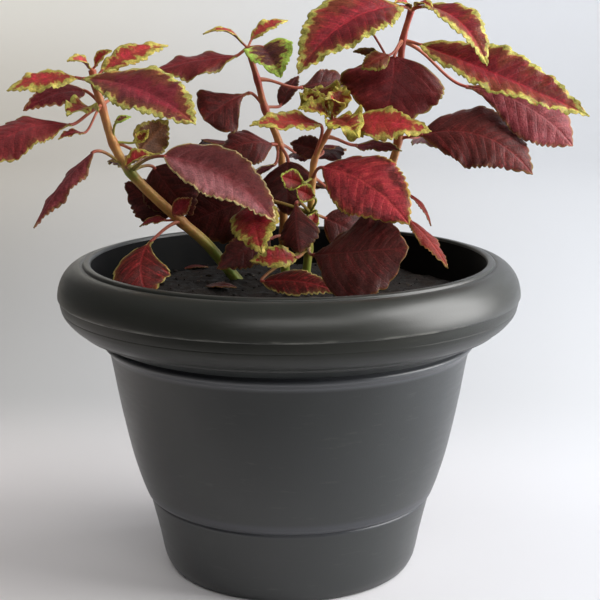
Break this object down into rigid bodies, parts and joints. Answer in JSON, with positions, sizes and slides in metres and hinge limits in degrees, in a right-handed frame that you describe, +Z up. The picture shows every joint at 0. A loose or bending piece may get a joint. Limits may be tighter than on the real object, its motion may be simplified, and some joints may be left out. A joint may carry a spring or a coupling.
{
  "type": "potted coleus",
  "caption": "Bushy coleus with toothed burgundy leaves edged in yellow-green on leaning stems, growing in a round plastic pot with a rolled rim.",
  "frame": {"origin": "centre of the pot's flat base, on the ground", "axes": "+Z up along the pot's axis, -Y towards the front of the plant, +X to its right seen from the front"},
  "size_m": [0.3198, 0.25, 0.3123],
  "materials": {
    "pot_plastic": "satin",
    "soil": "matte",
    "stem": "satin",
    "leaf_burgundy": "satin",
    "leaf_edged": "satin",
    "leaf_lime": "satin"
  },
  "bodies": {
    "root": {"pot": "pot_plastic", "soil": "soil", "left_stem": "stem", "left_leaf_1": "leaf_edged", "left_leaf_2": "leaf_edged", "left_leaf_3": "leaf_edged", "left_leaf_4": "leaf_burgundy", "left_leaf_5": "leaf_burgundy", "left_leaf_6": "leaf_edged", "left_leaf_7": "leaf_burgundy", "left_leaf_8": "leaf_burgundy", "left_leaf_9": "leaf_burgundy", "left_leaf_10": "leaf_burgundy", "left_leaf_11": "leaf_burgundy", "left_leaf_12": "leaf_burgundy", "left_leaf_13": "leaf_edged", "left_leaf_14": "leaf_burgundy", "back_stem": "stem", "back_leaf_1": "leaf_burgundy", "back_leaf_2": "leaf_lime", "back_leaf_3": "leaf_burgundy", "back_leaf_4": "leaf_burgundy", "back_leaf_5": "leaf_burgundy", "back_leaf_6": "leaf_burgundy", "back_leaf_7": "leaf_burgundy", "back_leaf_8": "leaf_burgundy", "back_leaf_9": "leaf_burgundy", "back_leaf_10": "leaf_burgundy", "back_leaf_11": "leaf_burgundy", "back_leaf_12": "leaf_burgundy", "back_leaf_13": "leaf_burgundy", "middle_stem": "stem", "middle_leaf_1": "leaf_edged", "middle_leaf_2": "leaf_lime", "middle_leaf_3": "leaf_edged", "middle_leaf_4": "leaf_lime", "middle_leaf_5": "leaf_burgundy", "middle_leaf_6": "leaf_burgundy", "middle_leaf_7": "leaf_edged", "middle_leaf_8": "leaf_burgundy", "middle_leaf_9": "leaf_edged", "middle_leaf_10": "leaf_edged", "middle_leaf_11": "leaf_burgundy", "middle_leaf_12": "leaf_burgundy", "middle_leaf_13": "leaf_burgundy", "middle_leaf_14": "leaf_burgundy", "right_stem": "stem", "right_leaf_1": "leaf_edged", "right_leaf_2": "leaf_edged", "right_leaf_3": "leaf_edged", "right_leaf_4": "leaf_edged", "right_leaf_5": "leaf_burgundy", "right_leaf_6": "leaf_burgundy", "right_leaf_7": "leaf_burgundy", "right_leaf_8": "leaf_edged", "right_leaf_9": "leaf_burgundy", "right_leaf_10": "leaf_burgundy", "right_leaf_11": "leaf_burgundy", "fallen_leaf_1": "leaf_burgundy", "fallen_leaf_2": "leaf_burgundy"}
  },
  "joints": []
}
